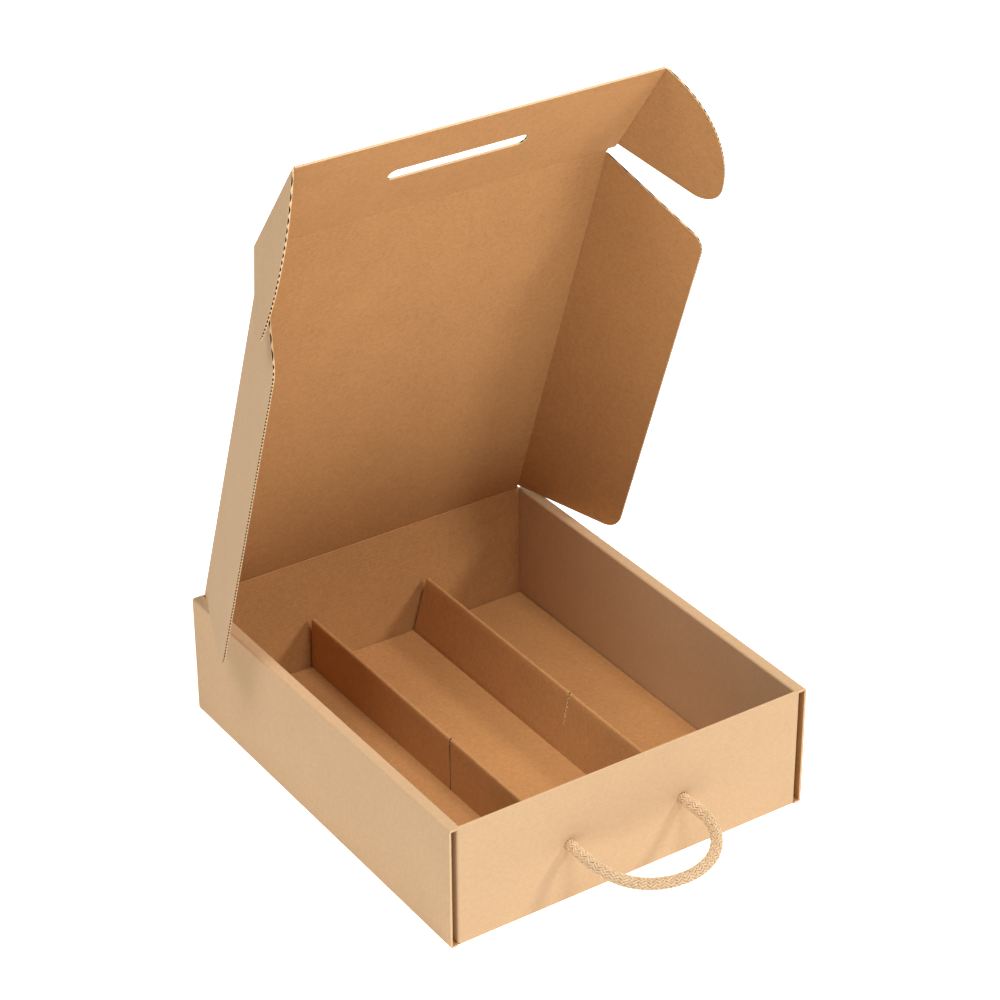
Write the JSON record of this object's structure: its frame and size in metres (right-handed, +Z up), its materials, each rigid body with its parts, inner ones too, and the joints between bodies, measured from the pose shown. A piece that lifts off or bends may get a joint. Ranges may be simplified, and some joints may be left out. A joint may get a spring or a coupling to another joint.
{
  "type": "bottle shipping box",
  "caption": "Shallow fluted-board box for bottles, with a hinged tuck lid standing open, a folded divider with two ridges and a rope handle on the front wall.",
  "frame": {"origin": "centre of the tray's underside, in the plane that it stands on", "axes": "+X across the front to the right, +Y from the front wall with the rope to the lid's hinge, +Z up"},
  "size_m": [0.3703, 0.4096, 0.5035],
  "materials": {
    "kraft_board": "uncoated brown kraft liner, matte, faint fibre mottling",
    "rope": "braided straw-coloured fibre rope, matte"
  },
  "bodies": {
    "tray": {"box_tray": "kraft_board", "bottle_divider": "kraft_board", "rope_handle": "rope", "rope_knot_left": "rope", "rope_knot_right": "rope"},
    "lid": {"lid_panel": "kraft_board"},
    "front_flap": {"front_flap": "kraft_board"},
    "left_ear": {"left_ear": "kraft_board"},
    "right_ear": {"right_ear": "kraft_board"},
    "left_dust_flap": {"left_dust_flap": "kraft_board"},
    "right_dust_flap": {"right_dust_flap": "kraft_board"}
  },
  "joints": [
    {"name": "lid_hinge", "type": "hinge", "parent": "tray", "child": "lid", "pos_m": [0, 0.1717, 0.098], "axis": [-1, 0, 0], "range_deg": [0, 109]},
    {"name": "front_flap_hinge", "type": "hinge", "parent": "lid", "child": "front_flap", "pos_m": [0, 0.05925, 0.42458], "axis": [-1, 0, 0], "range_deg": [-45, 17]},
    {"name": "left_ear_hinge", "type": "hinge", "parent": "front_flap", "child": "left_ear", "pos_m": [-0.1456, 0.05925, 0.42458], "axis": [0, 0.5878, -0.809], "range_deg": [0, 64]},
    {"name": "right_ear_hinge", "type": "hinge", "parent": "front_flap", "child": "right_ear", "pos_m": [0.1456, 0.05925, 0.42458], "axis": [0, -0.5878, 0.809], "range_deg": [0, 57]},
    {"name": "left_dust_hinge", "type": "hinge", "parent": "lid", "child": "left_dust_flap", "pos_m": [-0.1384, 0.1717, 0.098], "axis": [0, 0.3256, -0.9455], "range_deg": [0, 67.5]},
    {"name": "right_dust_hinge", "type": "hinge", "parent": "lid", "child": "right_dust_flap", "pos_m": [0.1384, 0.1717, 0.098], "axis": [0, -0.3256, 0.9455], "range_deg": [0, 69]}
  ]
}
